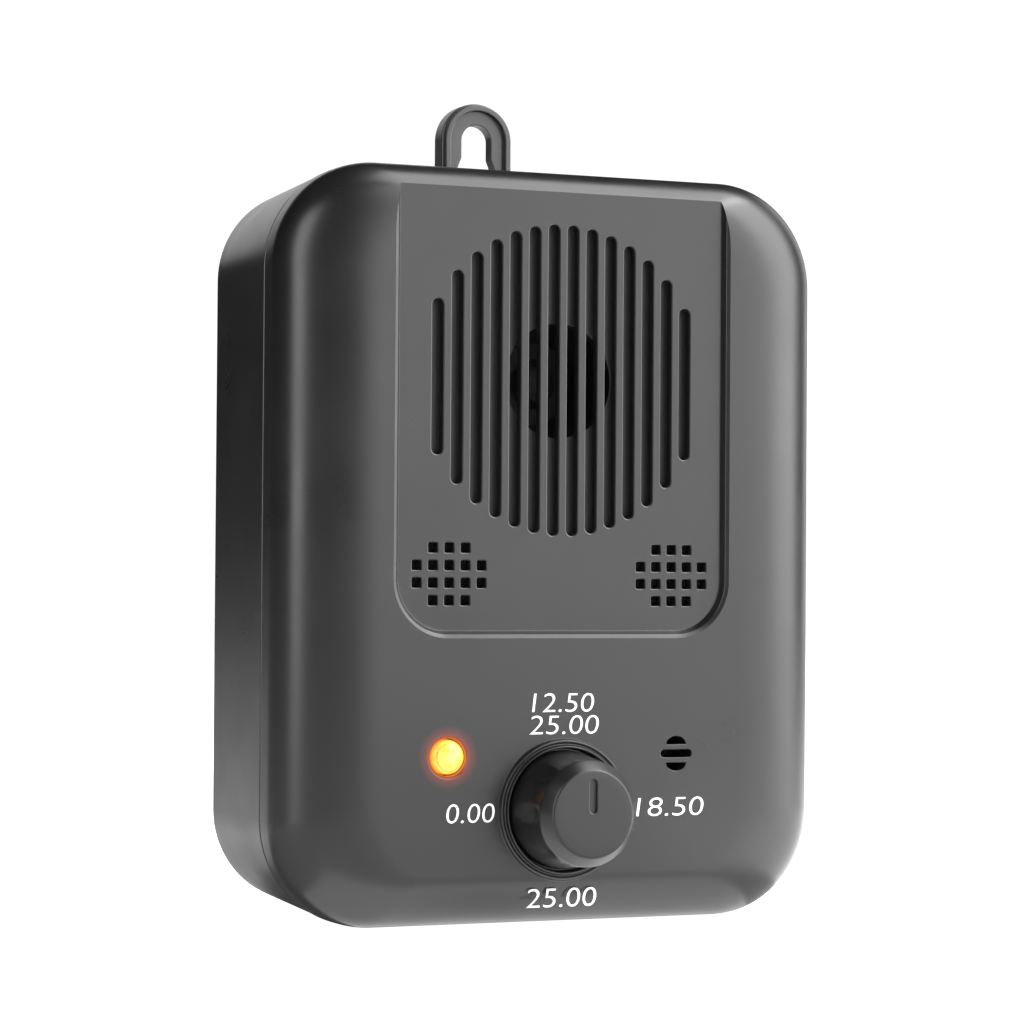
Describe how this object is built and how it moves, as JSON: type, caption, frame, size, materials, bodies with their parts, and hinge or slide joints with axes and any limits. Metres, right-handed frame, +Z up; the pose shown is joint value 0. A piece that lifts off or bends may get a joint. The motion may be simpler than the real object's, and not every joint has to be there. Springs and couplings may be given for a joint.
{
  "type": "ultrasonic pest repeller",
  "caption": "Battery-powered ultrasonic pest repeller: dark rounded box, slotted round tweeter grille, vents, frequency selector knob, indicator and keyhole hanging tab.",
  "frame": {"origin": "middle of the bounding box's bottom: on the base's plane, midway between the knob's cap and the back", "axes": "front faces -Y, +X to the right seen from the front, +Z up towards the hanging tab"},
  "size_m": [0.0874, 0.0476, 0.1252],
  "materials": {
    "shell_plastic": "dark charcoal moulded ABS, satin with a very fine spark texture",
    "black_plastic": "black moulded plastic, satin",
    "grey_plastic": "dark grey moulded plastic, matt",
    "black_rubber": "black rubber, matt",
    "foam": "black open-cell foam",
    "zinc_steel": "zinc-plated steel",
    "cast_alloy": "die-cast zinc alloy, plain",
    "brass": "plain brass",
    "diaphragm_metal": "thin spun aluminium",
    "amber_lens": "translucent amber epoxy, lit from inside",
    "connector_white": "off-white nylon",
    "board_green": "green solder mask on glass-fibre board",
    "chip_black": "black moulded epoxy",
    "ferrite": "dark grey ferrite",
    "capacitor_sleeve": "dark blue shrink sleeve",
    "battery_jacket": "printed metal jacket, satin dark grey, no lettering",
    "red_insulation": "red PVC insulation",
    "black_insulation": "black PVC insulation"
  },
  "bodies": {
    "case": {"front_shell": "shell_plastic", "rear_shell": "shell_plastic", "hanging_tab": "shell_plastic", "case_seal": "black_rubber", "switch_bushing": "cast_alloy", "switch_washer": "zinc_steel", "switch_nut": "zinc_steel", "switch_body": "grey_plastic", "indicator_led": "amber_lens", "led_spacer": "connector_white", "microphone_capsule": "zinc_steel", "microphone_boot": "black_rubber", "vent_pad_left": "foam", "vent_pad_right": "foam", "tweeter_frame": "grey_plastic", "tweeter_horn": "black_plastic", "tweeter_diaphragm": "diaphragm_metal", "piezo_disc": "brass", "tweeter_gasket": "black_rubber", "tweeter_cover": "black_plastic", "tweeter_terminal_left": "brass", "tweeter_terminal_right": "brass", "main_circuit_board": "board_green", "controller_chip": "chip_black", "voltage_regulator": "chip_black", "boost_coil": "ferrite", "smoothing_capacitor_1": "capacitor_sleeve", "smoothing_capacitor_2": "capacitor_sleeve", "battery_socket": "connector_white", "tweeter_socket": "connector_white", "battery_9v": "battery_jacket", "battery_snap": "black_plastic", "battery_pad": "foam", "battery_lead_red": "red_insulation", "battery_lead_black": "black_insulation", "tweeter_lead_red": "red_insulation", "tweeter_lead_black": "black_insulation", "case_screw_1": "zinc_steel", "case_screw_2": "zinc_steel", "case_screw_3": "zinc_steel", "case_screw_4": "zinc_steel", "board_screw_1": "zinc_steel", "board_screw_2": "zinc_steel", "board_screw_3": "zinc_steel", "board_screw_4": "zinc_steel", "tweeter_screw_1": "zinc_steel", "tweeter_screw_2": "zinc_steel", "tweeter_screw_3": "zinc_steel", "tweeter_screw_4": "zinc_steel"},
    "knob": {"selector_knob": "black_plastic", "switch_shaft": "cast_alloy"},
    "door": {"battery_door": "shell_plastic"}
  },
  "joints": [
    {"name": "knob_turn", "type": "hinge", "parent": "case", "child": "knob", "pos_m": [0, -0.01355, 0.0169], "axis": [0, 1, 0], "range_deg": [-90, 180]},
    {"name": "door_tilt", "type": "hinge", "parent": "case", "child": "door", "pos_m": [0, 0.02385, 0.0148], "axis": [-1, 0, 0], "range_deg": [0, 75]}
  ]
}
